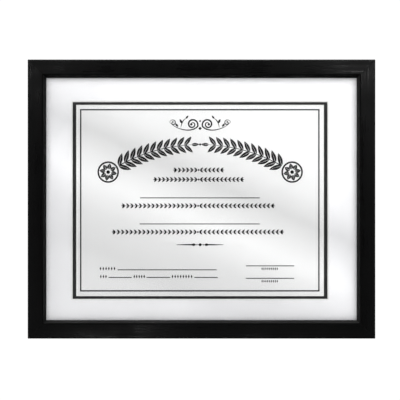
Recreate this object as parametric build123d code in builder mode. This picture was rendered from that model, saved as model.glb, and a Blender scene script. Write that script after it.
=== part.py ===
from build123d import *
from math import radians, sqrt, tan
import os

# A black wooden certificate frame for a 14 by 11 inch sheet, with a double mat round a landscape certificate.
# Millimetres, Z up, X to the viewer's right, front facing -Y.
# The origin is the middle notch of the landscape hanger, in the plane of the wall.

# Certificate, and how far the glass, mats and boards run past its edges: 1.5 and 1.25 inches
certificate_width = 279.4
certificate_height = 215.9
certificate_thickness = 0.25
side_margin = 38.1
end_margin = 31.75

# Mats: how far the black one laps over the certificate, and the strip of it that shows inside the white one
side_lap = 2.95
end_lap = 2.65
side_reveal = 4.05
end_reveal = 3.1
mat_thickness = 1.4
mat_bevel_angle = 45

# Glass and boards
glass_thickness = 2.0
mount_board_thickness = 5.0
backing_thickness = 3.0

# Moulding, seen in section
face_width = 20.6
rabbet_width = 6.5
bevel_width = 3.4
bevel_depth = 3.4
lip_edge = 1.6
outer_round = 1.5
bevel_ease = 0.6
sight_ease = 0.3
back_ease = 0.5
corner_ease = 0.8

# How the contents sit in the rabbet: the play that they have, and how far the backing stands out behind
sheet_play = 1.6
backing_rise = 0.8

# V-nails that hold each mitre together, driven in from behind
v_nail_leg = 3.4
v_nail_gauge = 0.5
v_nail_depth = 7.0
v_nail_shares = (0.3, 0.66)

# Sawtooth hanger: two flat tabs, and a raised toothed bar between them
hanger_length = 46.0
hanger_height = 9.6
hanger_gauge = 0.9
hanger_standoff = 1.8
hanger_tab = 8.5
hanger_ramp = 3.0
hanger_corner = 1.8
tooth_count = 11
tooth_depth = 1.4
centre_notch_depth = 2.2
tooth_width_share = 0.84

# Round-headed nails that fix the hangers
nail_radius = 0.7
nail_length = 9.0
nail_point = 1.0
nail_head_radius = 1.9
nail_head_height = 0.7
nail_crown_radius = 1.1
nail_clearance = 0.05

# Turn buttons: a hub on the rail, a short ramp, and a raised toe over the backing board
button_gauge = 1.0
button_hub_radius = 4.6
button_toe_radius = 3.3
button_overlap = 7.0
button_ramp = 1.6
button_running_gap = 0.08
button_play = 0.05
button_screw_share = 0.45
button_place_share = 0.27

# Pan head screws that the turn buttons swing on
screw_radius = 1.45
screw_length = 9.5
screw_point = 2.0
screw_head_radius = 2.9
screw_head_height = 1.6
screw_crown_radius = 2.1
recess_width = 0.8
recess_length = 3.2
recess_depth = 0.9

# Cuts run past the faces that they open
overrun = 1.0

# Sizes of the contents that follow from those above: the mats' windows are measured at the backs of the mats
sheet_width = certificate_width + 2 * side_margin
sheet_height = certificate_height + 2 * end_margin
bevel_run = mat_thickness * tan(radians(mat_bevel_angle))
inner_window_width = certificate_width - 2 * side_lap
inner_window_height = certificate_height - 2 * end_lap
outer_window_width = inner_window_width + 2 * (bevel_run + side_reveal)
outer_window_height = inner_window_height + 2 * (bevel_run + end_reveal)

# Sizes of the moulding
land_width = face_width - rabbet_width
lip_thickness = bevel_depth + lip_edge
rabbet_opening_width = sheet_width + 2 * sheet_play
rabbet_opening_height = sheet_height + 2 * sheet_play
frame_width = rabbet_opening_width + 2 * land_width
frame_height = rabbet_opening_height + 2 * land_width
contents_depth = (
    glass_thickness + 2 * mat_thickness + certificate_thickness + mount_board_thickness + backing_thickness
)
rail_depth = lip_thickness + contents_depth - backing_rise

# Where the frame lies round the hanger's middle notch
hanger_edge_gap = (land_width - hanger_height) / 2
notch_from_edge = hanger_edge_gap + hanger_height - centre_notch_depth
rail_back_y = -(hanger_standoff + hanger_gauge)
glass_front_y = rail_back_y - rail_depth + lip_thickness
frame_centre = Vector(0, rail_back_y, notch_from_edge - frame_height / 2)

# The contents rest on the bottom rail and have slid against the left one
contents_x = -sheet_play
contents_z = frame_centre.Z - sheet_play

os.makedirs("parts", exist_ok=True)


def back_of_rail(outward, half_span):
    """Plane on a rail's back: origin mid-way along its outer edge, Y outward, Z to the wall."""
    to_wall = Vector(0, 1, 0)
    return Plane(origin=frame_centre + outward * half_span, x_dir=outward.cross(to_wall), z_dir=to_wall)


def save(piece, name):
    """Label a finished piece and write it to its own file."""
    piece.label = name
    export_step(piece, f"parts/{name}.step")


up, right = Vector(0, 0, 1), Vector(1, 0, 0)
rail_backs = {
    "top": back_of_rail(up, frame_height / 2),
    "right": back_of_rail(right, frame_width / 2),
    "bottom": back_of_rail(-up, frame_height / 2),
    "left": back_of_rail(-right, frame_width / 2),
}
rail_lengths = {"top": frame_width, "right": frame_height, "bottom": frame_width, "left": frame_height}

# Corner V-nails: two chevrons across each mitre, set flush with the back of the rails
leg_reach = v_nail_leg / sqrt(2)
leg_gauge = v_nail_gauge / sqrt(2)
chevron = [
    (0, 0),
    (leg_reach, leg_reach),
    (leg_reach + leg_gauge, leg_reach - leg_gauge),
    (v_nail_gauge * sqrt(2), 0),
    (leg_reach + leg_gauge, leg_gauge - leg_reach),
    (leg_reach, -leg_reach),
]
mitre_on_land = land_width * sqrt(2)
corner_nails = {}
for vertical in ("top", "bottom"):
    for side in ("left", "right"):
        outward = rail_backs[vertical].y_dir + rail_backs[side].y_dir
        corner = frame_centre + rail_backs[vertical].y_dir * (frame_height / 2)
        corner += rail_backs[side].y_dir * (frame_width / 2)
        mitre_plane = Plane(origin=corner, x_dir=-outward, z_dir=(0, -1, 0))
        with BuildPart() as v_nails:
            with BuildSketch(mitre_plane):
                with Locations(*[(share * mitre_on_land, 0) for share in v_nail_shares]):
                    Polygon(*chevron)
            extrude(amount=v_nail_depth)
        corner_nails[f"{vertical}_{side}"] = v_nails.part
        save(v_nails.part, f"corner_nails_{vertical}_{side}")

# One hanger nail, its head's seat at the origin and its point along -Z
with BuildPart() as hanger_nail:
    with BuildSketch(Plane.XZ):
        Polygon(
            (0, nail_head_height), (0, -nail_length), (nail_radius, nail_point - nail_length),
            (nail_radius, 0), (nail_head_radius, 0), (nail_crown_radius, nail_head_height),
        )
    revolve(axis=Axis.Z)

# One pan head screw, its head's seat at the origin and its point along -Z
with BuildPart() as button_screw:
    with BuildSketch(Plane.XZ):
        Polygon(
            (0, screw_head_height), (0, -screw_length), (screw_radius, screw_point - screw_length),
            (screw_radius, 0), (screw_head_radius, 0), (screw_crown_radius, screw_head_height),
        )
    revolve(axis=Axis.Z)
    with BuildSketch(Plane.XY.offset(screw_head_height)):
        Rectangle(recess_length, recess_width)
        Rectangle(recess_width, recess_length)
    extrude(amount=-recess_depth, mode=Mode.SUBTRACT)

# One sawtooth hanger, its middle notch above the origin and its tabs on the XY plane
bar_length = hanger_length - 2 * (hanger_tab + hanger_ramp)
tooth_pitch = bar_length / tooth_count
hanger_folds = [
    (-hanger_length / 2, 0),
    (hanger_tab - hanger_length / 2, 0),
    (-bar_length / 2, hanger_standoff),
    (bar_length / 2, hanger_standoff),
    (hanger_length / 2 - hanger_tab, 0),
    (hanger_length / 2, 0),
]
tab_nail_x = (hanger_length - hanger_tab) / 2
tab_nail_y = hanger_height / 2 - centre_notch_depth


def notch(depth):
    """Sketch one V-shaped notch that opens downward from the bar's toothed edge."""
    half_mouth = tooth_pitch * tooth_width_share / 2
    Polygon(
        (-half_mouth, -centre_notch_depth - overrun), (half_mouth, -centre_notch_depth - overrun),
        (half_mouth, -centre_notch_depth), (0, depth - centre_notch_depth), (-half_mouth, -centre_notch_depth),
        mode=Mode.SUBTRACT,
    )


with BuildPart() as sawtooth_hanger:
    with BuildSketch(Plane.XZ):
        Polygon(*hanger_folds, *[(x, z + hanger_gauge) for x, z in reversed(hanger_folds)])
    extrude(amount=hanger_height + overrun, both=True)
    with BuildSketch(Plane.XY):
        with Locations((0, hanger_height / 2 - centre_notch_depth)):
            RectangleRounded(hanger_length, hanger_height, hanger_corner)
        with GridLocations(tooth_pitch, 0, tooth_count, 1):
            notch(tooth_depth)
        notch(centre_notch_depth)
        with Locations((-tab_nail_x, tab_nail_y), (tab_nail_x, tab_nail_y)):
            Circle(nail_radius + nail_clearance, mode=Mode.SUBTRACT)
    extrude(amount=hanger_standoff + hanger_gauge + overrun, both=True, mode=Mode.INTERSECT)

# Each hanger's middle notch lies on the centre line of its rail
hanger_sides = {"landscape": "top", "portrait": "left"}
for orientation, side in hanger_sides.items():
    back = rail_backs[side]
    place = Plane(origin=back.from_local_coords((0, -notch_from_edge, 0)), x_dir=back.x_dir, z_dir=back.z_dir)
    with BuildPart(place) as hanger:
        add(sawtooth_hanger.part)
    save(hanger.part, f"{orientation}_hanger")
    with BuildPart(place) as nails:
        with Locations((-tab_nail_x, tab_nail_y, hanger_gauge), (tab_nail_x, tab_nail_y, hanger_gauge)):
            add(hanger_nail.part)
    save(nails.part, f"{orientation}_hanger_nails")

# One turn button, its screw hole on the Z axis, its hub on the XY plane and its toe along +X
screw_inset = land_width * button_screw_share
screw_to_backing = land_width - screw_inset
ramp_end = sqrt(screw_to_backing**2 - button_hub_radius**2)
toe_end = screw_to_backing + button_overlap
screw_seat = button_gauge + button_play
button_folds = [
    (-button_hub_radius, 0), (ramp_end - button_ramp, 0), (ramp_end, backing_rise), (toe_end, backing_rise),
]
with BuildPart() as turn_button:
    with BuildSketch(Plane.XZ):
        Polygon(*button_folds, *[(x, z + button_gauge) for x, z in reversed(button_folds)])
    extrude(amount=button_hub_radius + overrun, both=True)
    with BuildSketch(Plane.XY):
        Circle(button_hub_radius)
        with Locations((toe_end - button_toe_radius, 0)):
            Circle(button_toe_radius)
        make_hull()
        Circle(screw_radius + button_running_gap, mode=Mode.SUBTRACT)
    extrude(amount=backing_rise + button_gauge + overrun, both=True, mode=Mode.INTERSECT)

# Two buttons on each rail, either side of the hanger, with their toes over the backing board
button_marks = {
    "top": ("left", "right"), "bottom": ("right", "left"), "right": ("upper", "lower"), "left": ("lower", "upper"),
}
for side, back in rail_backs.items():
    spread = rail_lengths[side] * button_place_share
    for mark, along in zip(button_marks[side], (spread, -spread)):
        hub = back.from_local_coords((along, -screw_inset, 0))
        place = Plane(origin=hub, x_dir=-back.y_dir, z_dir=back.z_dir)
        with BuildPart(place) as button:
            add(turn_button.part)
        save(button.part, f"turn_button_{side}_{mark}")
    with BuildPart(back) as screws:
        with Locations(*[(along, -screw_inset, screw_seat) for along in (spread, -spread)]):
            add(button_screw.part)
    save(screws.part, f"{side}_button_screws")

# Moulding section: across the rail from its outer edge, and forward from its back
section_points = [
    (0, 0),
    (0, rail_depth),
    (face_width - bevel_width, rail_depth),
    (face_width, rail_depth - bevel_depth),
    (face_width, rail_depth - lip_thickness),
    (land_width, rail_depth - lip_thickness),
    (land_width, 0),
]
section_radii = [back_ease, outer_round, bevel_ease, sight_ease, 0, 0, 0]

# Four rails, mitred where they meet, with slots for the V-nails and holes for the nails and screws
for side, back in rail_backs.items():
    length = rail_lengths[side]
    half_span = (back.origin - frame_centre).length
    spread = length * button_place_share
    across = Plane(origin=back.origin, x_dir=-back.y_dir, z_dir=back.x_dir)
    with BuildPart() as rail:
        with BuildSketch(across):
            with BuildLine():
                FilletPolyline(*section_points, radius=section_radii, close=True)
            make_face()
        extrude(amount=length / 2, both=True)
        with BuildSketch(back):
            with Locations((0, -half_span)):
                RectangleRounded(length, 2 * half_span, corner_ease)
            Polygon(
                (-length / 2, 0), (length / 2, 0), (length / 2 - face_width, -face_width),
                (face_width - length / 2, -face_width),
                mode=Mode.INTERSECT,
            )
        extrude(amount=rail_depth + overrun, both=True, mode=Mode.INTERSECT)
        for place, v_nail_pair in corner_nails.items():
            if side in place:
                add(v_nail_pair, mode=Mode.SUBTRACT)
        with Locations(back):
            with Locations((spread, -screw_inset), (-spread, -screw_inset)):
                Hole(screw_radius, screw_length - screw_seat)
            if side in hanger_sides.values():
                nail_y = tab_nail_y - notch_from_edge
                with Locations((tab_nail_x, nail_y), (-tab_nail_x, nail_y)):
                    Hole(nail_radius, nail_length - hanger_gauge)
    save(rail.part, f"{side}_rail")


def sheet_plane(depth_behind_glass_front):
    """Plane through the contents' centre, facing the viewer, so far behind the front of the glass."""
    return Plane(
        origin=(contents_x, glass_front_y + depth_behind_glass_front, contents_z), x_dir=(1, 0, 0), z_dir=(0, -1, 0)
    )


# Glass, lying against the lip of the rabbet
with BuildPart() as glazing:
    with BuildSketch(sheet_plane(glass_thickness)):
        Rectangle(sheet_width, sheet_height)
    extrude(amount=glass_thickness)
save(glazing.part, "glazing")

# White mat: its window is cut on the slant, widening to the front
mat_top_back = glass_thickness + mat_thickness
with BuildPart() as mat_top:
    with BuildSketch(sheet_plane(mat_top_back)):
        Rectangle(sheet_width, sheet_height)
    extrude(amount=mat_thickness)
    with BuildSketch(sheet_plane(mat_top_back)):
        Rectangle(outer_window_width, outer_window_height)
    extrude(amount=mat_thickness, taper=-mat_bevel_angle, mode=Mode.SUBTRACT)
save(mat_top.part, "mat_top")

# Black mat: the reveal is what shows of its face inside the white mat's window
mat_under_back = mat_top_back + mat_thickness
with BuildPart() as mat_under:
    with BuildSketch(sheet_plane(mat_under_back)):
        Rectangle(sheet_width, sheet_height)
    extrude(amount=mat_thickness)
    with BuildSketch(sheet_plane(mat_under_back)):
        Rectangle(inner_window_width, inner_window_height)
    extrude(amount=mat_thickness, taper=-mat_bevel_angle, mode=Mode.SUBTRACT)
save(mat_under.part, "mat_under")

# Certificate, lying behind the black mat's window
certificate_back = mat_under_back + certificate_thickness
with BuildPart() as certificate:
    with BuildSketch(sheet_plane(certificate_back)):
        Rectangle(certificate_width, certificate_height)
    extrude(amount=certificate_thickness)
save(certificate.part, "certificate")

# Foam mount board that presses the certificate and mats to the glass
mount_board_back = certificate_back + mount_board_thickness
with BuildPart() as mount_board:
    with BuildSketch(sheet_plane(mount_board_back)):
        Rectangle(sheet_width, sheet_height)
    extrude(amount=mount_board_thickness)
save(mount_board.part, "mount_board")

# Hardboard backing, its back standing a little behind the rails and held by the turn buttons
with BuildPart() as backing_board:
    with BuildSketch(sheet_plane(mount_board_back + backing_thickness)):
        Rectangle(sheet_width, sheet_height)
    extrude(amount=backing_thickness)
save(backing_board.part, "backing_board")
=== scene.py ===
"""Black wooden certificate frame with a double mat: finishes, certificate print and studio.

The rails, glass, mats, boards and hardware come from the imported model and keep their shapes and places.
This script dresses them, prints the certificate, and sets up the camera, the lights and the floor.
Lengths are metres, apart from the print, whose layout is given in millimetres from the certificate's centre.
"""

import logging
import math
from dataclasses import dataclass, field
from enum import Enum

import bmesh
import bpy
from mathutils import Matrix, Vector


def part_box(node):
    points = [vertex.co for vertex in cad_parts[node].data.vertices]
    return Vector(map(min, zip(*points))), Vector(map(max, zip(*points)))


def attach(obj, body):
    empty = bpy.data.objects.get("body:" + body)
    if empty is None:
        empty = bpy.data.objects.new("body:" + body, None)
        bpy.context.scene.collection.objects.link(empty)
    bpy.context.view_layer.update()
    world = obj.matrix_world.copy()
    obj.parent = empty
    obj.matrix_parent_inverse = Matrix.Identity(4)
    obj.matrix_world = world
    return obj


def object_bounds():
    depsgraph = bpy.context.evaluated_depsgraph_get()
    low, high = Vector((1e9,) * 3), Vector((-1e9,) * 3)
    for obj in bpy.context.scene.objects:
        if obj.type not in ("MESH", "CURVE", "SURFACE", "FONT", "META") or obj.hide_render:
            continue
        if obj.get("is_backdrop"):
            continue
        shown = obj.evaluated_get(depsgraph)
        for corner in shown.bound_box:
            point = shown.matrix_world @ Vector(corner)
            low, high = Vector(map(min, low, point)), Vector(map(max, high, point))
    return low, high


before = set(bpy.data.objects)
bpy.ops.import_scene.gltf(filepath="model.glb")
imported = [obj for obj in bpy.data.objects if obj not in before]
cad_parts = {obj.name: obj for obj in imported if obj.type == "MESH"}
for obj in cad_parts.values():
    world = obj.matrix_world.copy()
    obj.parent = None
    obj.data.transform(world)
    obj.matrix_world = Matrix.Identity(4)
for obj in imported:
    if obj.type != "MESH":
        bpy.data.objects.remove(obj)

log = logging.getLogger("certificate_frame")

Point = tuple[float, float]
Triple = tuple[float, float, float]
Socket = bpy.types.NodeSocket
MILLIMETRE = 0.001
SAME_PLACE = 1e-4
LEAF_STEPS = 10
EASE_STEPS = 2
SHARP_EDGE = math.radians(40.0)
SQUARE_ON = (math.radians(90.0), 0.0, 0.0)


class Grain(Enum):
    """The way that a rail's wood grain runs, as the texture's scale along X, Y and Z."""

    ALONG_X = (7.0, 330.0, 330.0)
    ALONG_Z = (330.0, 330.0, 7.0)


class Side(Enum):
    """The four sides of the frame, with the grain of the rail there."""

    TOP = "top"
    RIGHT = "right"
    BOTTOM = "bottom"
    LEFT = "left"

    @property
    def grain(self) -> Grain:
        """Grain that follows this side's rail."""
        return Grain.ALONG_X if self in (Side.TOP, Side.BOTTOM) else Grain.ALONG_Z


class Recipe:
    """A material in the making: it adds shader nodes and joins their sockets."""

    def __init__(self, name: str) -> None:
        """Start an empty material of that name."""
        self.open(bpy.data.materials.new(name), "Material", "Object")

    def open(self, block: bpy.types.ID, kind: str, place: str) -> None:
        """Clear a data block's nodes and start its recipe.

        Args:
            block: The material or world.
            kind: Which of the two, as its output node names it.
            place: The coordinates that its textures use.
        """
        self.block = block
        block.use_nodes = True
        self.nodes = block.node_tree.nodes
        self.links = block.node_tree.links
        self.nodes.clear()
        self.output = self.nodes.new(f"ShaderNodeOutput{kind}")
        self.place = self.nodes.new("ShaderNodeTexCoord").outputs[place]

    def add(self, kind: str, **values: object) -> bpy.types.Node:
        """Add a node.

        Args:
            kind: The node's type without the leading ShaderNode.
            **values: Its properties, and the values or sockets of its inputs, with underscores for spaces.

        Returns:
            The new node.
        """
        node = self.nodes.new(f"ShaderNode{kind}")
        for name, value in values.items():
            socket = node.inputs.get(name.replace("_", " "))
            if socket is not None:
                self.feed(socket, value)
            else:
                setattr(node, name, value)
        return node

    def feed(self, target: Socket, value: object) -> None:
        """Give an input its value.

        Args:
            target: The input's socket.
            value: The socket to link to it, a number, a colour or a vector.
        """
        if isinstance(value, Socket):
            self.links.new(value, target)
        elif target.type == "RGBA":
            target.default_value = (*value, 1.0)
        else:
            target.default_value = value

    def math(self, operation: str, first: object, second: object = None) -> Socket:
        """Add a maths node.

        Args:
            operation: Its operation, such as MULTIPLY.
            first: A socket or a number.
            second: A socket or a number, or None where the operation takes one value.

        Returns:
            The result's socket.
        """
        node = self.add("Math", operation=operation)
        self.feed(node.inputs[0], first)
        if second is not None:
            self.feed(node.inputs[1], second)
        return node.outputs[0]

    def noise(self, fineness: Triple | float, detail: float = 4.0, rough: float = 0.55) -> Socket:
        """Add a noise texture fixed to the object.

        Args:
            fineness: Features a metre, along X, Y and Z or the same along all three.
            detail: How many octaves it has.
            rough: How strong the finer octaves are.

        Returns:
            The noise's factor, about 0.3 to 0.7.
        """
        scale = fineness if isinstance(fineness, tuple) else (fineness,) * 3
        place = self.add("Mapping", Vector=self.place, Scale=scale).outputs[0]
        return self.add("TexNoise", Vector=place, Scale=1.0, Detail=detail, Roughness=rough).outputs[0]

    def spread(self, factor: Socket, low: float, high: float, start: float = 0.3,
               end: float = 0.7) -> Socket:
        """Map a factor, so that it runs from low to high while it was from start to end."""
        ends = {"From_Min": start, "From_Max": end, "To_Min": low, "To_Max": high}
        return self.add("MapRange", Value=factor, **ends).outputs[0]

    def tint(self, factor: Socket, *stops: tuple[float, Triple]) -> Socket:
        """Map a factor to a colour.

        Args:
            factor: The socket to map.
            *stops: Places and their colours, in rising order.

        Returns:
            The colour's socket.
        """
        ramp = self.add("ValToRGB", Fac=factor)
        elements = ramp.color_ramp.elements
        while len(elements) < len(stops):
            elements.new(0.5)
        for element, (place, colour) in zip(elements, stops):
            element.position = place
            element.color = (*colour, 1.0)
        return ramp.outputs["Color"]

    def blend(self, factor: Socket, first: object, second: object) -> Socket:
        """Blend two colours.

        Args:
            factor: 0 for the first, 1 for the second.
            first: A colour or its socket.
            second: A colour or its socket.

        Returns:
            The blended colour's socket.
        """
        node = self.add("Mix", data_type="RGBA", Factor=factor)
        colours = [socket for socket in node.inputs if socket.type == "RGBA"]
        for target, value in zip(colours, (first, second)):
            self.feed(target, value)
        return next(socket for socket in node.outputs if socket.type == "RGBA")

    def dim(self, colour: Socket, share: Socket) -> Socket:
        """Multiply a colour by a number."""
        return self.add("VectorMath", operation="SCALE", Vector=colour, Scale=share).outputs[0]

    def part_of(self, vector: Socket, axis: str) -> Socket:
        """Take the X, Y or Z of a vector."""
        return self.add("SeparateXYZ", Vector=vector).outputs[axis]

    def facing(self, axis: str, least: float) -> Socket:
        """Tell the faces that look along an axis from the rest.

        Args:
            axis: X, Y or Z, with a leading plus where only the faces that look its positive way count.
            least: How much of the normal lies along it, at least.

        Returns:
            A socket that is 1 on those faces and 0 elsewhere.
        """
        along = self.part_of(self.add("NewGeometry").outputs["True Normal"], axis[-1])
        if not axis.startswith("+"):
            along = self.math("ABSOLUTE", along)
        return self.math("GREATER_THAN", along, least)

    def relief(self, height: Socket, depth: float, strength: float,
               soft_edge: float = 0.0) -> Socket:
        """Turn a height into a bumped normal.

        Args:
            height: The height's socket.
            depth: Its depth in metres.
            strength: How much of it shows.
            soft_edge: Radius that the arrises look rounded to, in metres.

        Returns:
            The normal's socket.
        """
        bump = self.add("Bump", Height=height, Strength=strength, Distance=depth)
        if soft_edge:
            self.feed(bump.inputs["Normal"], self.add("Bevel", Radius=soft_edge).outputs["Normal"])
        return bump.outputs["Normal"]

    def surface(self, colour: object, rough: object, normal: Socket | None = None,
                **constants: float) -> bpy.types.Node:
        """Add the Principled surface.

        Args:
            colour: Base colour, or its socket.
            rough: Roughness, or its socket.
            normal: The bumped normal's socket, if any.
            **constants: Other inputs, with underscores for spaces.

        Returns:
            The Principled node.
        """
        shader = self.add("BsdfPrincipled", Base_Color=colour, Roughness=rough, **constants)
        if normal is not None:
            self.feed(shader.inputs["Normal"], normal)
        return shader

    def mix(self, share: Socket, first: bpy.types.Node, second: bpy.types.Node) -> bpy.types.Node:
        """Mix two shaders.

        Args:
            share: 0 for the first, 1 for the second.
            first: A shader node.
            second: A shader node.

        Returns:
            The mixing node.
        """
        node = self.add("MixShader")
        for target, source in zip(node.inputs, (share, first.outputs[0], second.outputs[0])):
            self.feed(target, source)
        return node

    def finish(self, shader: bpy.types.Node) -> bpy.types.ID:
        """Put the last shader on the output, and hand over the material or world."""
        self.feed(self.output.inputs["Surface"], shader.outputs[0])
        return self.block


class Surroundings(Recipe):
    """The world's light in the making, where the place is the direction that a ray looks."""

    def __init__(self, name: str) -> None:
        """Start an empty world."""
        self.open(bpy.data.worlds.new(name), "World", "Generated")

    def glow(self, strength: object) -> bpy.types.Node:
        """Add white light of a strength, which is a number or a socket."""
        return self.add("Background", Color=(1.0, 1.0, 1.0), Strength=strength)

    def choose(self, ray: str, other: bpy.types.Node, chosen: bpy.types.Node) -> bpy.types.Node:
        """Give the rays of one kind, named as the light path names it, the light chosen for them."""
        return self.mix(self.add("LightPath").outputs[ray], other, chosen)


@dataclass(frozen=True)
class BlackWood:
    """Black stained wood with a satin lacquer, its grain along the rail, painted shade and light across its
    face, and a thinner stain on its back.
    """

    grain: Grain
    darkest: Triple = (0.0006, 0.0006, 0.0007)
    lightest: Triple = (0.0026, 0.0026, 0.0027)
    back_brown: Triple = (0.020, 0.013, 0.009)
    gloss: float = 0.36
    pore_fineness: float = 4.5
    rough_satin: float = 0.46
    smooth_satin: float = 0.23
    relief_depth: float = 0.0001
    # Painted shade and light: the face's colour is dimmed near the sight edge and brightened towards the
    # outer edge.
    painted_shade_inside: float = 0.35
    painted_light_outside: float = 1.5
    painted_shade_start: float = 0.0175
    painted_light_end: float = 0.0021
    soft_edge: float = 0.0009
    arris: float = 0.0166
    dull_core: float = 0.0005
    dull_reach: float = 0.0011

    def build(self) -> bpy.types.Material:
        """Make the material, with pores and streaks, painted shade near the sight edge and painted light
        towards the outside, and a dull sight edge.

        Returns:
            The material.
        """
        recipe = Recipe(f"black_wood_{self.grain.name.lower()}")
        along = Vector(self.grain.value)
        streaks = recipe.noise(tuple(along), detail=5.0, rough=0.62)
        pores = recipe.noise(tuple(along * self.pore_fineness), detail=3.0, rough=0.7)
        clouds = recipe.noise(22.0, detail=2.0)
        tone = recipe.math("MULTIPLY", streaks, recipe.spread(clouds, 0.6, 1.4))
        from_middle, outer = self.across(recipe)
        # Painted shade and light across the rail: the face is darker near the sight edge and lighter towards
        # the outside, as light would fall on a rounded face.
        painted_light_across = recipe.spread(from_middle, self.painted_shade_inside, self.painted_light_outside, outer - self.painted_shade_start,
                               outer - self.painted_light_end)
        face = recipe.dim(recipe.tint(tone, (0.34, self.darkest), (0.66, self.lightest)), painted_light_across)
        worn = recipe.tint(pores, (0.38, self.darkest), (0.62, self.back_brown))
        colour = recipe.blend(recipe.facing("+Y", 0.5), face, worn)
        from_arris = recipe.math("ABSOLUTE", recipe.math("SUBTRACT", from_middle, outer - self.arris))
        dull = recipe.spread(from_arris, 1.0, 0.0, self.dull_core, self.dull_reach)
        rough = recipe.math("MAXIMUM", recipe.spread(tone, self.rough_satin, self.smooth_satin), dull)
        height = recipe.math("ADD", streaks, recipe.math("MULTIPLY", pores, 0.6))
        normal = recipe.relief(height, self.relief_depth, 0.5, self.soft_edge)
        return recipe.finish(recipe.surface(colour, rough, normal, Specular_IOR_Level=self.gloss))

    def across(self, recipe: Recipe) -> tuple[Socket, float]:
        """Measure across the rail.

        Args:
            recipe: The material in the making.

        Returns:
            The distance's socket, from the frame's middle, and the distance of the frame's outside.
        """
        axis = "Z" if self.grain is Grain.ALONG_X else "X"
        low, high = (getattr(corner, axis.lower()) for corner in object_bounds())
        from_middle = recipe.math("SUBTRACT", recipe.part_of(recipe.place, axis), (low + high) / 2)
        return recipe.math("ABSOLUTE", from_middle), (high - low) / 2


@dataclass(frozen=True)
class ClearGlass:
    """Clear picture glass, which mirrors a little from each of its two faces and more at a slant."""

    head_on_mirror: float = 0.042
    tint: Triple = (0.992, 0.994, 0.993)
    polish: float = 0.015
    rise_power: float = 5.0

    def build(self) -> bpy.types.Material:
        """Make the material: a clear pane under a thin mirror that strengthens towards the edge-on view.

        Returns:
            The material.
        """
        recipe = Recipe("clear_glass")
        clear = recipe.add("BsdfTransparent", Color=self.tint)
        mirror = recipe.surface((1.0, 1.0, 1.0), self.polish, Metallic=1.0)
        slant = recipe.add("LayerWeight", Blend=0.5).outputs["Facing"]
        rise = recipe.math("POWER", slant, self.rise_power)
        share = recipe.math("ADD", recipe.math("MULTIPLY", rise, 1.0 - self.head_on_mirror),
                            self.head_on_mirror)
        return recipe.finish(recipe.mix(share, clear, mirror))


def shades(colour: Triple, unevenness: float) -> tuple[Triple, Triple]:
    """Darken and lighten a colour by the same share."""
    return tuple(tuple(c * (1.0 + k * unevenness) for c in colour) for k in (-1.0, 1.0))


@dataclass(frozen=True)
class MatBoard:
    """Mat board: a faced sheet whose cut edges and bevels show its white core."""

    name: str
    face: Triple
    core: Triple = (0.86, 0.86, 0.85)
    unevenness: float = 0.03
    tooth: float = 0.00006
    gloss: float = 0.3

    def build(self) -> bpy.types.Material:
        """Make the material, with paper fibres in its face and a faint cloudiness.

        Returns:
            The material.
        """
        recipe = Recipe(self.name)
        fibres = recipe.noise(900.0, detail=6.0, rough=0.7)
        clouds = recipe.noise(35.0, detail=3.0)
        mottle = recipe.math("ADD", fibres, recipe.math("MULTIPLY", clouds, 0.6))
        less, more = shades(self.face, self.unevenness)
        face = recipe.tint(mottle, (0.6, less), (1.0, more))
        colour = recipe.blend(recipe.facing("Y", 0.9), self.core, face)
        normal = recipe.relief(fibres, self.tooth, 0.5)
        return recipe.finish(recipe.surface(colour, recipe.spread(fibres, 0.7, 0.85), normal,
                                            Specular_IOR_Level=self.gloss))


@dataclass(frozen=True)
class CertificatePaper:
    """Smooth white certificate paper with a faint laid texture."""

    shade: Triple = (0.835, 0.832, 0.835)
    unevenness: float = 0.015
    tooth: float = 0.00004
    gloss: float = 0.3

    def build(self) -> bpy.types.Material:
        """Make the material, with fine fibres and barely seen clouds.

        Returns:
            The material.
        """
        recipe = Recipe("certificate_paper")
        fibres = recipe.noise((1500.0, 1500.0, 700.0), detail=5.0, rough=0.65)
        clouds = recipe.noise(28.0, detail=4.0)
        mottle = recipe.math("ADD", fibres, recipe.math("MULTIPLY", clouds, 0.5))
        less, more = shades(self.shade, self.unevenness)
        colour = recipe.tint(mottle, (0.55, less), (0.95, more))
        normal = recipe.relief(fibres, self.tooth, 0.4)
        return recipe.finish(recipe.surface(colour, recipe.spread(fibres, 0.55, 0.7), normal,
                                            Specular_IOR_Level=self.gloss))


@dataclass(frozen=True)
class PrintInk:
    """Black printing ink, slightly uneven and a little glossier than the paper."""

    black: Triple = (0.005, 0.005, 0.0055)
    thinning: float = 2.2
    gloss: float = 0.3

    def build(self) -> bpy.types.Material:
        """Make the material, with specks where the ink is thin.

        Returns:
            The material.
        """
        recipe = Recipe("print_ink")
        specks = recipe.noise(2400.0, detail=3.0)
        thin = tuple(c * self.thinning for c in self.black)
        colour = recipe.tint(specks, (0.4, self.black), (0.72, thin))
        rough = recipe.spread(specks, 0.38, 0.55)
        return recipe.finish(recipe.surface(colour, rough, Specular_IOR_Level=self.gloss))


@dataclass(frozen=True)
class FoamBoard:
    """White foam-cored board: paper faces, and bubbles of foam in its cut edges."""

    paper: Triple = (0.84, 0.84, 0.83)
    foam: Triple = (0.74, 0.75, 0.76)
    bubble_fineness: float = 1400.0
    tooth: float = 0.00005

    def build(self) -> bpy.types.Material:
        """Make the material, with smooth faces and bubbly edges.

        Returns:
            The material.
        """
        recipe = Recipe("foam_board")
        bubbles = recipe.add("TexVoronoi", Vector=recipe.place, Scale=self.bubble_fineness)
        fibres = recipe.noise(800.0, detail=5.0)
        edge = recipe.tint(bubbles.outputs["Distance"], (0.1, self.foam), (0.7, self.paper))
        less = tuple(c * 0.96 for c in self.paper)
        face = recipe.tint(fibres, (0.35, less), (0.65, self.paper))
        colour = recipe.blend(recipe.facing("Y", 0.9), edge, face)
        return recipe.finish(recipe.surface(colour, 0.75, recipe.relief(fibres, self.tooth, 0.4)))


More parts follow.
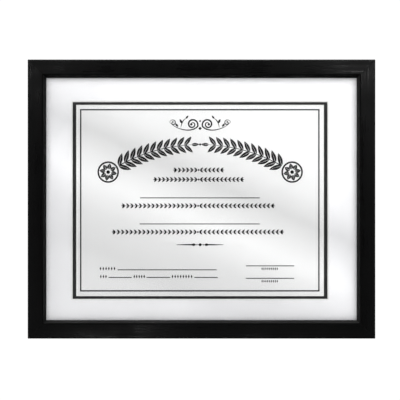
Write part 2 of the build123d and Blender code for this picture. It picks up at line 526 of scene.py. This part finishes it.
@dataclass(frozen=True)
class Hardboard:
    """Brown hardboard: pressed wood fibre, its smooth and slightly shiny side outward."""

    dark: Triple = (0.120, 0.066, 0.034)
    brown: Triple = (0.195, 0.112, 0.060)
    fleck: Triple = (0.285, 0.178, 0.104)
    tooth: float = 0.0001
    gloss: float = 0.4

    def build(self) -> bpy.types.Material:
        """Make the material, with short matted fibres, light flecks and broad clouds.

        Returns:
            The material.
        """
        recipe = Recipe("hardboard")
        one_way = recipe.noise((2100.0, 1200.0, 900.0), detail=6.0, rough=0.75)
        other_way = recipe.noise((850.0, 1200.0, 2000.0), detail=6.0, rough=0.75)
        clouds = recipe.noise(18.0, detail=4.0)
        fibres = recipe.math("MAXIMUM", one_way, other_way)
        tone = recipe.math("ADD", fibres, recipe.spread(clouds, -0.022, 0.022))
        colour = recipe.tint(tone, (0.38, self.dark), (0.56, self.brown), (0.78, self.fleck))
        normal = recipe.relief(fibres, self.tooth, 0.45)
        return recipe.finish(recipe.surface(colour, recipe.spread(fibres, 0.6, 0.38), normal,
                                            Specular_IOR_Level=self.gloss))


@dataclass(frozen=True)
class PlatedSteel:
    """Pressed steel, zinc plated or bare, with fine rubbing marks and cloudy plating."""

    name: str
    bright: Triple
    dull: Triple
    smooth: float
    coarse: float
    mark_depth: float = 0.00002

    def build(self) -> bpy.types.Material:
        """Make the material, with marks a few tenths of a millimetre apart.

        Returns:
            The material.
        """
        recipe = Recipe(self.name)
        marks = recipe.noise((2600.0, 2600.0, 420.0), detail=4.0, rough=0.7)
        clouds = recipe.noise(260.0, detail=3.0)
        colour = recipe.tint(clouds, (0.35, self.dull), (0.65, self.bright))
        mixed = recipe.math("ADD", recipe.math("MULTIPLY", marks, 0.5), recipe.math("MULTIPLY", clouds, 0.5))
        rough = recipe.spread(mixed, self.smooth, self.coarse)
        normal = recipe.relief(marks, self.mark_depth, 0.5)
        return recipe.finish(recipe.surface(colour, rough, normal, Metallic=1.0))


def dress(nodes: list[str], material: bpy.types.Material, ease: float = 0.0) -> None:
    """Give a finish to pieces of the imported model.

    Args:
        nodes: Their names.
        material: The finish.
        ease: How far to ease their edges, in metres, or 0 to leave them as they are.
    """
    for name in nodes:
        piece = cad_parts[name]
        piece.data.materials.clear()
        piece.data.materials.append(material)
        if ease:
            bevel = piece.modifiers.new("eased_edges", "BEVEL")
            bevel.width = ease
            bevel.segments = EASE_STEPS
            bevel.limit_method = "ANGLE"
            bevel.angle_limit = SHARP_EDGE
        log.info("%s dressed in %s", name, material.name)


@dataclass
class Moulding:
    """The four mitred rails and the V-nails that hold their corners."""

    corners: tuple[str, ...] = ("top_left", "top_right", "bottom_left", "bottom_right")
    bare_steel: PlatedSteel = PlatedSteel("bare_steel", (0.46, 0.46, 0.46), (0.33, 0.33, 0.34), 0.3, 0.5)

    def build(self) -> None:
        """Dress each rail with its grain running along it, and the V-nails."""
        woods = {grain: BlackWood(grain).build() for grain in Grain}
        for side in Side:
            dress([f"{side.value}_rail"], woods[side.grain])
        dress([f"corner_nails_{corner}" for corner in self.corners], self.bare_steel.build())


@dataclass
class Package:
    """What the rabbet holds: glass, the two mats, the mount board and the backing board."""

    white_mat: MatBoard = MatBoard("white_mat", (0.862, 0.858, 0.874))
    black_mat: MatBoard = MatBoard("black_mat", (0.025, 0.025, 0.025), unevenness=0.15)

    def build(self) -> None:
        """Dress each sheet."""
        finishes = {"glazing": ClearGlass(), "mat_top": self.white_mat, "mat_under": self.black_mat,
                    "mount_board": FoamBoard(), "backing_board": Hardboard()}
        for sheet, finish in finishes.items():
            dress([sheet], finish.build())


@dataclass
class Hardware:
    """Turn buttons with their screws, and the two sawtooth hangers with their nails."""

    starts: str = "turn_button"
    ends: tuple[str, ...] = ("hanger", "hanger_nails", "button_screws")
    edge_ease: float = 0.00012
    zinc: PlatedSteel = PlatedSteel("zinc_steel", (0.80, 0.80, 0.79), (0.66, 0.66, 0.66), 0.22, 0.40)

    def build(self) -> None:
        """Dress the pressed pieces and the fasteners, with eased edges."""
        steel = [name for name in sorted(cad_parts)
                 if name.startswith(self.starts) or name.endswith(self.ends)]
        dress(steel, self.zinc.build(), self.edge_ease)


def put(name: str, data: bpy.types.ID, place: Triple = (0.0, 0.0, 0.0)) -> bpy.types.Object:
    """Put an object in the scene.

    Args:
        name: Its name.
        data: Its mesh, lamp or camera.
        place: Where it stands.

    Returns:
        The object.
    """
    thing = bpy.data.objects.new(name, data)
    thing.location = place
    bpy.context.collection.objects.link(thing)
    return thing


def solid_mesh(name: str, mesh: bmesh.types.BMesh) -> bpy.types.Mesh:
    """Turn a mesh in the making into mesh data, and let go of it.

    Args:
        name: The data's name.
        mesh: The mesh in the making.

    Returns:
        The data.
    """
    data = bpy.data.meshes.new(name)
    mesh.to_mesh(data)
    mesh.free()
    return data


def turned(point: Point, degrees: float, about: Point) -> Point:
    """Turn a point anticlockwise about another.

    Args:
        point: The point.
        degrees: The angle.
        about: The centre of the turn.

    Returns:
        The turned point.
    """
    angle = math.radians(degrees)
    x, y = point[0] - about[0], point[1] - about[1]
    sine, cosine = math.sin(angle), math.cos(angle)
    return (about[0] + x * cosine - y * sine, about[1] + x * sine + y * cosine)


def bezier(start: Point, pull: Point, push: Point, end: Point, steps: int) -> list[Point]:
    """Points along a cubic curve.

    Args:
        start: Its first point.
        pull: The handle of the first point.
        push: The handle of the last point.
        end: Its last point.
        steps: How many spans it is cut into.

    Returns:
        The points, ends included.
    """
    points = []
    for step in range(steps + 1):
        t = step / steps
        shares = ((1 - t) ** 3, 3 * t * (1 - t) ** 2, 3 * t * t * (1 - t), t**3)
        pulls = list(zip(shares, (start, pull, push, end)))
        points.append(tuple(sum(share * point[k] for share, point in pulls) for k in (0, 1)))
    return points


def spiral(centre: Point, outer: float, inner: float, start: float, sweep: float,
           steps: int) -> list[Point]:
    """Points along a spiral that winds inward.

    Args:
        centre: Its centre.
        outer: The radius where it starts.
        inner: The radius where it ends.
        start: The angle of its first point, in degrees.
        sweep: How far it turns, anticlockwise if positive.
        steps: How many spans it is cut into.

    Returns:
        The points, ends included.
    """
    points = []
    for step in range(steps + 1):
        t = step / steps
        radius = outer + (inner - outer) * t**0.85
        angle = math.radians(start + sweep * t)
        points.append((centre[0] + radius * math.cos(angle), centre[1] + radius * math.sin(angle)))
    return points


class Plate:
    """One printing plate: flat strokes in millimetres that become a film of ink on the paper."""

    def __init__(self, name: str) -> None:
        """Start an empty plate for the piece of that name."""
        self.name = name
        self.mesh = bmesh.new()

    def strip(self, left: list[Point], right: list[Point]) -> None:
        """Ink the strip between two lines.

        Args:
            left: Points along one edge.
            right: As many points along the other edge; where two are the same the strip has no width.
        """
        pairs = []
        for one, other in zip(left, right):
            first = self.mesh.verts.new((one[0], 0.0, one[1]))
            same = math.dist(one, other) < SAME_PLACE
            pairs.append((first, first if same else self.mesh.verts.new((other[0], 0.0, other[1]))))
        for (a, b), (c, d) in zip(pairs, pairs[1:]):
            corners = list(dict.fromkeys((a, b, d, c)))
            if len(corners) > 2:
                self.mesh.faces.new(corners)

    def stroke(self, points: list[Point], start: float, middle: float, end: float) -> None:
        """Ink a line whose width swells from its ends to its middle.

        Args:
            points: Points along the line.
            start: Width at its start.
            middle: Width half-way.
            end: Width at its end.
        """
        left, right, last = [], [], len(points) - 1
        for index, point in enumerate(points):
            before, after = points[max(index - 1, 0)], points[min(index + 1, last)]
            run = Vector((after[0] - before[0], after[1] - before[1])).normalized()
            t = index / last
            swell = math.sin(math.pi * t)
            half = ((start + (end - start) * t) * (1 - swell) + middle * swell) / 2
            left.append((point[0] - run.y * half, point[1] + run.x * half))
            right.append((point[0] + run.y * half, point[1] - run.x * half))
        self.strip(left, right)

    def disc(self, centre: Point, radius: float, sides: int = 16) -> None:
        """Ink a round dot, or with 4 sides a lozenge that stands on its point."""
        ring = [turned((centre[0], centre[1] + radius), 360 * k / sides, centre) for k in range(sides)]
        self.mesh.faces.new([self.mesh.verts.new((x, 0.0, y)) for x, y in ring])

    def leaf(self, base: Point, degrees: float, length: float, width: float, vein: float) -> None:
        """Ink a pointed leaf in two halves with a bare vein between them.

        Args:
            base: Where it springs from.
            degrees: The way it points.
            length: From base to tip.
            width: Across its broadest part.
            vein: Width of the bare vein.
        """
        for side in (-1.0, 1.0):
            inner, outer = [], []
            for step in range(LEAF_STEPS + 1):
                t = step / LEAF_STEPS
                inside = 0 < step < LEAF_STEPS
                belly = width / 2 * math.sin(math.pi * t**0.8) ** 0.85 if inside else 0.0
                gap = min(vein / 2 * (1 - t), belly)
                for edge, off in ((inner, gap), (outer, belly)):
                    edge.append(turned((base[0] + t * length, base[1] + side * off), degrees, base))
            self.strip(inner, outer)

    def press(self, centre: Vector, thickness: float, ink: bpy.types.Material,
              body: str) -> bpy.types.Object:
        """Lay the plate's ink on the paper.

        Args:
            centre: The middle of the paper's face.
            thickness: Thickness of the ink, in metres.
            ink: The ink's finish.
            body: The body that the print rides on.

        Returns:
            The print.
        """
        bmesh.ops.scale(self.mesh, vec=Vector((MILLIMETRE,) * 3), verts=self.mesh.verts)
        lifted = bmesh.ops.extrude_face_region(self.mesh, geom=self.mesh.faces[:])["geom"]
        raised = [part for part in lifted if isinstance(part, bmesh.types.BMVert)]
        bmesh.ops.translate(self.mesh, vec=Vector((0.0, -thickness, 0.0)), verts=raised)
        bmesh.ops.transform(self.mesh, matrix=Matrix.Translation(centre), verts=self.mesh.verts)
        bmesh.ops.recalc_face_normals(self.mesh, faces=self.mesh.faces)
        data = solid_mesh(self.name, self.mesh)
        data.materials.append(ink)
        piece = put(self.name, data)
        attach(piece, body)
        log.info("%s printed with %d faces", self.name, len(data.polygons))
        return piece


@dataclass
class Rule:
    """A straight ruled line, in millimetres from the certificate's centre."""

    start: float
    end: float
    height: float
    weight: float = 0.98

    def ink(self, plate: Plate) -> None:
        """Ink the line on a plate."""
        upper, lower = self.height + self.weight / 2, self.height - self.weight / 2
        plate.strip([(self.start, upper), (self.end, upper)], [(self.start, lower), (self.end, lower)])


@dataclass
class Beads:
    """A short row of tiny lozenges before or under a blank, in millimetres from the certificate's centre."""

    start: float
    end: float
    height: float
    pitch: float = 2.9
    size: float = 2.2
    slimness: float = 0.42

    def ink(self, plate: Plate) -> None:
        """Ink the lozenges, evenly spaced.

        Args:
            plate: The plate to ink.
        """
        count = max(2, round((self.end - self.start) / self.pitch))
        half = self.size * self.slimness
        for index in range(count):
            along = self.start + (index + 0.5) * (self.end - self.start) / count
            first, last = (along - half, self.height), (along + half, self.height)
            plate.strip([first, (along, self.height + self.size), last],
                        [first, (along, self.height - self.size), last])


@dataclass
class Sprig:
    """A slim sprig that grows both ways from a lozenge, with a pair of leaves at each joint.

    Its places and sizes are in millimetres, measured from the certificate's centre.
    """

    start: float
    end: float
    height: float
    pitch: float = 4.7
    leaf_length: float = 4.3
    leaf_width: float = 1.7
    leaf_spread: float = 40.0
    stem_width: float = 0.5
    lozenge: float = 1.3
    first_joint: float = 0.1

    def ink(self, plate: Plate) -> None:
        """Ink the stem, the leaves and the lozenge.

        Args:
            plate: The plate to ink.
        """
        middle, half_length = (self.start + self.end) / 2, (self.end - self.start) / 2
        joints = round((half_length - self.lozenge) / self.pitch)
        step = (half_length - self.lozenge) / joints
        tip = half_length - self.leaf_length
        leaf = (self.leaf_length, self.leaf_width, 0.0)
        stem = [(middle + place, self.height) for place in (-tip, 0.0, tip)]
        plate.stroke(stem, self.stem_width, self.stem_width, self.stem_width)
        plate.disc((middle, self.height), self.lozenge, sides=4)
        for side, forward in ((-1.0, 180.0), (1.0, 0.0)):
            for joint in range(joints):
                out = self.lozenge + step * (joint + self.first_joint)
                for slope in (-self.leaf_spread, self.leaf_spread):
                    plate.leaf((middle + side * out, self.height), forward + slope, *leaf)
            plate.leaf((middle + side * tip, self.height), forward, *leaf)


@dataclass
class Garland:
    """A laurel garland along an arch: two branches that meet at a lozenge, and a rosette at each end."""

    centre: Point = (0.1, -124.0)
    radius: float = 186.5
    end_angle: float = 29.2
    rosette_angle: float = 33.4
    rosette_radius: float = 12.0
    first_angle: float = 3.0
    leaf_pairs: int = 11
    leaf_length: float = 14.6
    leaf_width: float = 5.2
    leaf_spread: float = 46.0
    leaf_taper: float = 0.16
    last_leaf: Point = (0.6, 0.7)
    lozenge: float = 1.5
    vein: float = 0.4
    stem_widths: Triple = (1.2, 0.8, 0.3)
    stem_steps: int = 40
    petals: int = 8
    ring_steps: int = 48

    def on_arch(self, angle: float) -> Point:
        """Point on the arch, so many degrees from its crown."""
        turn = math.radians(angle)
        return (self.centre[0] + self.radius * math.sin(turn), self.centre[1] + self.radius * math.cos(turn))

    def ink(self, plate: Plate) -> None:
        """Ink the stems, the leaves, the rosettes and the lozenge between the branches.

        Args:
            plate: The plate to ink.
        """
        reach = self.end_angle - self.first_angle
        for side in (-1.0, 1.0):
            plate.stroke([self.on_arch(side * (self.end_angle - reach * k / self.stem_steps))
                          for k in range(self.stem_steps + 1)], *self.stem_widths)
            for index in range(self.leaf_pairs):
                angle = side * (self.end_angle - reach * index / self.leaf_pairs)
                size = 1.0 - self.leaf_taper * index / self.leaf_pairs
                for slope in (-self.leaf_spread, self.leaf_spread):
                    self.leaf(plate, angle, slope, size, size)
            self.leaf(plate, side * self.first_angle, 0.0, *self.last_leaf)
            self.rosette(plate, self.on_arch(side * self.rosette_angle), -side * self.rosette_angle)
        plate.disc(self.on_arch(0.0), self.lozenge, sides=4)

    def leaf(self, plate: Plate, angle: float, slope: float, longer: float, wider: float) -> None:
        """Ink a leaf towards the crown, sloping from the stem, in shares of the full length and width."""
        way = slope + (180.0 - angle if angle > 0 else -angle)
        plate.leaf(self.on_arch(angle), way, self.leaf_length * longer, self.leaf_width * wider, self.vein)

    def rosette(self, plate: Plate, centre: Point, tilt: float) -> None:
        """Ink one rosette.

        Args:
            plate: The plate to ink.
            centre: Its centre.
            tilt: Its turn, in degrees.
        """
        size = self.rosette_radius
        for index in range(self.petals):
            way = tilt + 360.0 * index / self.petals
            base = turned((centre[0] + size * 0.26, centre[1]), way, centre)
            plate.leaf(base, way, size * 0.56, size * 0.38, self.vein)
        plate.disc(centre, size * 0.17)
        for radius, weight in ((size, 1.5), (size * 0.88, 0.4)):
            plate.strip(*[[turned((centre[0] + edge, centre[1]), 360.0 * k / self.ring_steps, centre)
                           for k in range(self.ring_steps + 1)] for edge in (radius, radius - weight)])


@dataclass
class Flourish:
    """A pair of mirrored scrolls with buds, above the garland."""

    height: float = 84.0
    half_length: float = 34.0
    volute_centre: Point = (8.6, 1.0)
    curl_centre: Point = (30.2, 2.8)
    buds: tuple[tuple[Point, float, float], ...] = (
        ((15.8, 7.4), 128.0, 4.4), ((20.2, 2.2), 62.0, 5.4), ((24.5, -1.6), 48.0, 5.0),
    )
    bud_slimness: float = 0.46

    def ink(self, plate: Plate) -> None:
        """Ink each scroll, its tail and buds, and a drop between them.

        Args:
            plate: The plate to ink.
        """
        volute = spiral(self.volute_centre, 6.4, 1.2, 200.0, -560.0, 40)
        tail = bezier((self.half_length, 3.4), (27.0, -4.6), (10.0, -9.4), volute[0], 20)
        curl = spiral(self.curl_centre, 3.9, 0.9, 8.0, 430.0, 26)
        branch = bezier((21.5, -2.5), (20.5, 3.0), (18.5, 6.5), self.buds[0][0], 10)
        strokes = ((tail[:-1] + volute, (0.35, 1.75, 0.5)), (curl, (0.4, 1.1, 0.4)),
                   (branch, (0.35, 1.05, 0.45)))
        for side in (-1.0, 1.0):
            for line, widths in strokes:
                plate.stroke([self.place(point, side) for point in line], *widths)
            for end, radius in ((volute[-1], 1.35), (curl[-1], 0.95)):
                plate.disc(self.place(end, side), radius)
            for base, way, length in self.buds:
                forward = way if side > 0 else 180.0 - way
                plate.leaf(self.place(base, side), forward, length, length * self.bud_slimness, 0.0)
        plate.disc((0.0, self.height - 3.6), 1.9, sides=4)
        plate.disc((0.0, self.height + 4.6), 1.2, sides=4)

    def place(self, point: Point, side: float) -> Point:
        """Mirror a point to a side and lift it to the flourish."""
        return (side * point[0], self.height + point[1])


@dataclass
class TaperedRule:
    """A small centred rule that swells into spindles beside a lozenge."""

    height: float = -49.4
    half_length: float = 26.3

    def ink(self, plate: Plate) -> None:
        """Ink the tapering arms, the spindles, the dots and the lozenge.

        Args:
            plate: The plate to ink.
        """
        for side in (-1.0, 1.0):
            arm = [(side * x, self.height) for x in (self.half_length, 16.0, 7.4)]
            spindle = [(side * x, self.height) for x in (9.6, 8.4, 7.2, 6.0, 4.8)]
            plate.stroke(arm, 0.5, 1.3, 1.5)
            plate.stroke(spindle, 0.9, 2.9, 0.9)
            plate.disc((side * 3.5, self.height), 0.8, sides=12)
        plate.stroke([(x, self.height) for x in (-2.2, -1.1, 0.0, 1.1, 2.2)], 0.2, 3.4, 0.2)


@dataclass
class BorderLine:
    """The thin printed line that frames the certificate."""

    width: float = 265.9
    height: float = 202.2
    weight: float = 1.5
    shift: Point = (-0.3, 0.2)

    def ink(self, plate: Plate) -> None:
        """Ink the line as one closed strip.

        Args:
            plate: The plate to ink.
        """
        corners = ((-1, -1), (1, -1), (1, 1), (-1, 1), (-1, -1))
        rings = []
        for grow in (self.weight / 2, -self.weight / 2):
            across, up = self.width / 2 + grow, self.height / 2 + grow
            rings.append([(self.shift[0] + x * across, self.shift[1] + y * up) for x, y in corners])
        plate.strip(*rings)


@dataclass
class Certificate:
    """The certificate sheet and its print: border, garland, flourish, sprigs, rules and blanks."""

    ink_thickness: float = 0.00003
    ink_gap: float = 0.000002
    sprigs: list[Sprig] = field(default_factory=lambda: [Sprig(*ends) for ends in (
        (-30.2, 27.0, 34.0), (-52.4, 49.2, 23.4), (-88.2, 83.8, -6.0), (-98.8, 93.9, -35.2),
    )])
    rules: list[Rule] = field(default_factory=lambda: [Rule(*ends) for ends in (
        (-66.9, 66.7, 2.9), (-67.5, 66.6, -26.2), (-92.1, 18.5, -77.4), (-102.1, -76.4, -85.9),
        (-59.7, -33.4, -85.9), (-6.3, 19.6, -85.9), (51.2, 105.1, -73.0), (51.2, 105.1, -86.9),
    )])
    beads: list[Beads] = field(default_factory=lambda: [Beads(*ends) for ends in (
        (-112.7, -94.0, -76.0), (-112.2, -103.6, -84.9), (-74.8, -61.0, -84.9), (-32.3, -8.0, -84.9),
        (68.2, 87.2, -76.2, 2.1, 1.8), (68.2, 87.2, -90.1, 2.1, 1.8),
    )])

    def build(self) -> None:
        """Dress the sheet and print each plate on its face."""
        dress(["certificate"], CertificatePaper().build())
        low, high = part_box("certificate")
        centre = Vector(((low.x + high.x) / 2, low.y - self.ink_gap, (low.z + high.z) / 2))
        ink = PrintInk().build()
        plates = {
            "certificate_border": [BorderLine()],
            "certificate_garland": [Garland()],
            "certificate_flourish": [Flourish(), TaperedRule()],
            "certificate_sprigs": self.sprigs,
            "certificate_rules": [*self.rules, *self.beads],
        }
        for name, designs in plates.items():
            plate = Plate(name)
            for design in designs:
                design.ink(plate)
            plate.press(centre, self.ink_thickness, ink, "frame")


@dataclass
class Softbox:
    """A rectangular studio light."""

    name: str
    place: Triple
    size: Point
    power: float
    aim: Triple = (0.0, 0.0, -0.15)
    mirrored: bool = True
    only_rails: bool = False

    def build(self) -> None:
        """Hang the light and point it."""
        lamp = bpy.data.lights.new(self.name, "AREA")
        lamp.shape = "RECTANGLE"
        lamp.size, lamp.size_y = self.size
        lamp.energy = self.power
        holder = put(self.name, lamp, self.place)
        holder.rotation_euler = (Vector(self.aim) - Vector(self.place)).to_track_quat("-Z", "Y").to_euler()
        holder.visible_glossy = self.mirrored
        if self.only_rails:
            lit = bpy.data.collections.new(f"{self.name}_lights")
            for side in Side:
                lit.objects.link(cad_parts[f"{side.value}_rail"])
            holder.light_linking.receiver_collection = lit
        log.info("%s lit with %.3f W", self.name, self.power)


@dataclass
class Backdrop:
    """Surroundings that are white behind the frame, soft grey as fill, and dim in front for mirrors."""

    white: float = 1.05
    fill_below: float = 0.69
    fill_above: float = 0.85
    mirrored_above: float = 1.15
    mirrored_behind: float = 0.45
    mirrored_front: float = 0.012
    leftward: float = 0.35

    def build(self) -> None:
        """Light the world with it."""
        world = Surroundings("backdrop")
        right, back, up = (world.part_of(world.place, axis) for axis in "XYZ")
        fill = world.spread(up, self.fill_below, self.fill_above, -0.6, 0.6)
        beside = world.math("MULTIPLY", world.spread(back, 0.0, 1.0, -0.6, 0.0),
                            world.spread(back, 1.0, 0.25, 0.1, 0.8))
        above = world.spread(up, 0.0, self.mirrored_above, -0.6, 1.0)
        left = world.spread(right, 1.0 + self.leftward, 1.0 - self.leftward, -1.0, 1.0)
        around = world.math("MULTIPLY", beside, world.math("MULTIPLY", above, left))
        behind = world.spread(back, 0.0, self.mirrored_behind, 0.2, 0.9)
        mirrored = world.math("ADD", world.math("ADD", around, behind), self.mirrored_front)
        light = world.choose("Is Glossy Ray", world.glow(fill), world.glow(mirrored))
        bpy.context.scene.world = world.finish(world.choose("Is Camera Ray", light, world.glow(self.white)))


@dataclass
class Floor:
    """A pale round floor that fades into the backdrop, and can't be seen from below."""

    drop: float = 0.55
    radius: float = 3.2
    sides: int = 96
    fade_from: float = 0.9
    fade_to: float = 2.2
    darker: Triple = (0.80, 0.80, 0.80)
    paler: Triple = (0.84, 0.84, 0.84)

    def build(self) -> None:
        """Lay the floor."""
        mesh = bmesh.new()
        bmesh.ops.create_circle(mesh, cap_ends=True, segments=self.sides, radius=self.radius)
        data = solid_mesh("floor", mesh)
        floor = put("floor", data, (0.0, 0.0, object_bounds()[0].z - self.drop))
        data.materials.append(self.finish())
        floor.visible_glossy = False
        floor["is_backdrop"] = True

    def finish(self) -> bpy.types.Material:
        """Make the floor's finish, clear at its rim and on its underside.

        Returns:
            The material.
        """
        recipe = Recipe("pale_floor")
        colour = recipe.tint(recipe.noise(9.0, detail=5.0), (0.3, self.darker), (0.7, self.paler))
        radius = recipe.add("VectorMath", operation="LENGTH", Vector=recipe.place).outputs["Value"]
        fade = recipe.spread(radius, 0.0, 1.0, self.fade_from, self.fade_to)
        clear = recipe.math("MAXIMUM", fade, recipe.add("NewGeometry").outputs["Backfacing"])
        pale = recipe.surface(colour, 0.8)
        return recipe.finish(recipe.mix(clear, pale, recipe.add("BsdfTransparent")))


@dataclass
class StreakLamp:
    """A lamp by the camera whose graded gel lays soft slanting streaks of light on the sheets.

    Places on the gel are in parts of the picture's width, counted down the picture from its middle. Each
    stop has its place below the first streak and the share of the light that passes there.
    """

    camera_place: Vector
    camera_distance: float
    picture_width: float
    power: float = 155.0
    cone: float = math.radians(15.0)
    soft_rim: float = 0.2
    lamp_radius: float = 0.0006
    gel_gap: float = 0.5
    gel_reach: float = 0.12
    edge_fade: float = 0.007
    parts: float = 400.0
    slope: float = 0.43
    reach: float = 200.0
    first_streak: float = -22.8
    stops: tuple[Point, ...] = (
        (-60.0, 1.0), (-30.0, 0.7), (0.0, 0.05), (20.0, 0.45), (45.0, 0.88), (80.0, 0.25), (115.0, 0.0),
        (140.0, 0.2),
    )

    def build(self) -> None:
        """Hang the lamp and its gel."""
        lamp = bpy.data.lights.new("streak_lamp", "SPOT")
        lamp.energy = self.power
        lamp.spot_size = self.cone
        lamp.spot_blend = self.soft_rim
        lamp.shadow_soft_size = self.lamp_radius
        holder = put("streak_lamp", lamp, self.camera_place)
        holder.visible_glossy = False
        mesh = bmesh.new()
        bmesh.ops.create_grid(mesh, x_segments=1, y_segments=1, size=self.gel_reach)
        data = solid_mesh("graded_gel", mesh)
        data.materials.append(self.graded_gel())
        gel = put("graded_gel", data, self.camera_place + Vector((0.0, self.gel_gap, 0.0)))
        for thing in (holder, gel):
            thing.rotation_euler = SQUARE_ON
        for ray in ("camera", "diffuse", "glossy", "transmission", "volume_scatter"):
            setattr(gel, f"visible_{ray}", False)
        gel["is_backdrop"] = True
        log.info("streak lamp hung behind its gel")

    def graded_gel(self) -> bpy.types.Material:
        """Make the gel: it passes most light in the upper right and dims towards two slanting streaks.

        Returns:
            The material.
        """
        recipe = Recipe("graded_gel")
        right, up = (recipe.part_of(recipe.place, axis) for axis in "XY")
        part = self.picture_width / self.parts * self.gel_gap / self.camera_distance
        drop = recipe.math("ADD", recipe.math("MULTIPLY", up, -1.0 / part),
                           recipe.math("MULTIPLY", right, -self.slope / part))
        along = recipe.spread(drop, 0.0, 1.0, -self.reach, self.reach)
        first = self.first_streak + self.reach
        passed = recipe.tint(along, *[((first + place) / (2 * self.reach), (share,) * 3)
                                      for place, share in self.stops])
        mat_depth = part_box("mat_top")[0].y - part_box("top_rail")[0].y
        scale = self.gel_gap / (self.camera_distance + mat_depth)
        for side, across, axis in ((Side.LEFT, right, 0), (Side.RIGHT, right, 0), (Side.TOP, up, 2),
                                   (Side.BOTTOM, up, 2)):
            low, high = (corner[axis] - self.camera_place[axis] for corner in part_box(f"{side.value}_rail"))
            if side in (Side.LEFT, Side.BOTTOM):
                ends = (0.0, 1.0, high * scale, (high + self.edge_fade) * scale)
            else:
                ends = (1.0, 0.0, (low - self.edge_fade) * scale, low * scale)
            passed = recipe.dim(passed, recipe.spread(across, *ends))
        return recipe.finish(recipe.add("BsdfTransparent", Color=passed))


@dataclass
class Studio:
    """Camera, backdrop and floor, the softboxes, and a tiny kicker for each corner of the moulding."""

    distance: float = 3.0
    image_width: float = 0.4451
    look_at: Point = (-0.00167, -0.14681)
    lights: list[Softbox] = field(default_factory=lambda: [
        Softbox("key_light", (0.5, -1.6, 1.1), (2.0, 1.2), 8.0),
        Softbox("top_light", (0.0, -0.15, 1.3), (1.3, 0.5), 9.0, mirrored=False),
        Softbox("left_light", (-1.5, -0.2, -0.1), (0.7, 1.2), 6.0, mirrored=False),
        Softbox("right_light", (1.5, -0.2, -0.1), (0.7, 1.2), 8.0, mirrored=False),
        Softbox("back_light", (-0.6, 1.7, 0.9), (1.6, 1.2), 14.0),
    ])
    kickers: list[Softbox] = field(default_factory=lambda: [
        Softbox(f"{corner}_kicker", place, (0.012, 0.012), power, aim, only_rails=True)
        for corner, place, aim, power in (
            ("top_right", (0.205, -0.37, 0.015), (0.185, 0.0, 0.0), 0.030),
            ("top_left", (-0.205, -0.37, 0.015), (-0.185, 0.0, 0.0), 0.014),
            ("bottom_left", (-0.107, -0.37, -0.308), (-0.097, 0.0, -0.291), 0.022),
            ("bottom_right", (0.10, -0.37, -0.308), (0.09, 0.0, -0.291), 0.007),
        )
    ])

    def build(self) -> None:
        """Set up the whole studio."""
        camera = self.set_camera()
        Backdrop().build()
        Floor().build()
        StreakLamp(camera.location, self.distance, self.image_width).build()
        for light in self.lights + self.kickers:
            light.build()
        settings = bpy.context.scene.view_settings
        settings.view_transform = "Standard"
        settings.look = "None"

    def set_camera(self) -> bpy.types.Object:
        """Stand the camera straight in front of the frame, with a long lens.

        Returns:
            The camera.
        """
        lens = bpy.data.cameras.new("camera")
        lens.sensor_width = 36.0
        lens.lens = lens.sensor_width * self.distance / self.image_width
        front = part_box("top_rail")[0].y
        camera = put("camera", lens, (self.look_at[0], front - self.distance, self.look_at[1]))
        camera.rotation_euler = SQUARE_ON
        bpy.context.scene.camera = camera
        return camera


def main() -> None:
    """Build the frame's finishes, print and studio."""
    logging.basicConfig(level=logging.INFO, format="%(name)s: %(message)s")
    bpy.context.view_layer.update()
    for assembly in (Moulding(), Package(), Hardware(), Certificate(), Studio()):
        log.info("building %s", type(assembly).__name__)
        assembly.build()


if __name__ == "__main__":
    main()
